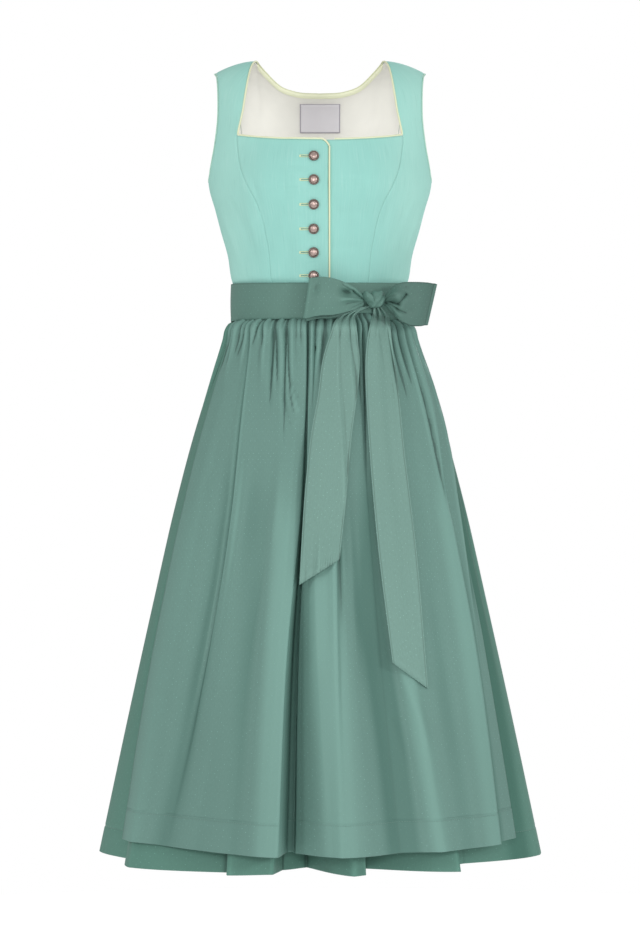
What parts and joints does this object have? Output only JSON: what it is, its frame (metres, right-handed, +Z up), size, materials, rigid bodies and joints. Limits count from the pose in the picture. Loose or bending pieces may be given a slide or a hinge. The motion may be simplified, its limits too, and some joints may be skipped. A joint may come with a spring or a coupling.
{
  "type": "dirndl dress",
  "caption": "Hollow dirndl dress in its worn form: square-necked buttoned bodice, gathered midi skirt, and an apron tied in a bow.",
  "frame": {"origin": "midway between the shoulder tops, at the height of the neck points, where the wearer's shoulders hold the dress up", "axes": "+Z up; the front faces -Y; +X towards the wearer's left"},
  "size_m": [0.6174, 0.5827, 1.1061],
  "materials": {
    "bodice_cloth": "matte mint linen weave with fine upright slubs",
    "skirt_cloth": "green cotton with a fine woven pin dot, slight sheen",
    "apron_cloth": "sage green cotton satin with a fine woven pin dot, soft sheen",
    "lining": "ivory plain cotton",
    "piping": "pale lime bias piping",
    "label": "blank grey woven label",
    "button_metal": "antique copper, dark in its recesses"
  },
  "bodies": {
    "root": {"bodice_front_right": "bodice_cloth", "bodice_front_left": "bodice_cloth", "bodice_side_front_right": "bodice_cloth", "bodice_side_front_left": "bodice_cloth", "bodice_side_back_right": "bodice_cloth", "bodice_side_back_left": "bodice_cloth", "bodice_back": "bodice_cloth", "back_lining": "lining", "neck_label": "label", "neck_piping": "piping", "armhole_piping_right": "piping", "armhole_piping_left": "piping", "front_edge_piping": "piping", "button_1": "button_metal", "button_2": "button_metal", "button_3": "button_metal", "button_4": "button_metal", "button_5": "button_metal", "button_6": "button_metal", "skirt_front": "skirt_cloth", "skirt_back": "skirt_cloth", "apron_panel": "apron_cloth", "apron_band": "apron_cloth", "apron_tie_back": "apron_cloth", "bow_knot": "apron_cloth", "bow_loop_right": "apron_cloth", "bow_loop_left": "apron_cloth", "bow_tail_right": "apron_cloth", "bow_tail_left": "apron_cloth"}
  },
  "joints": []
}
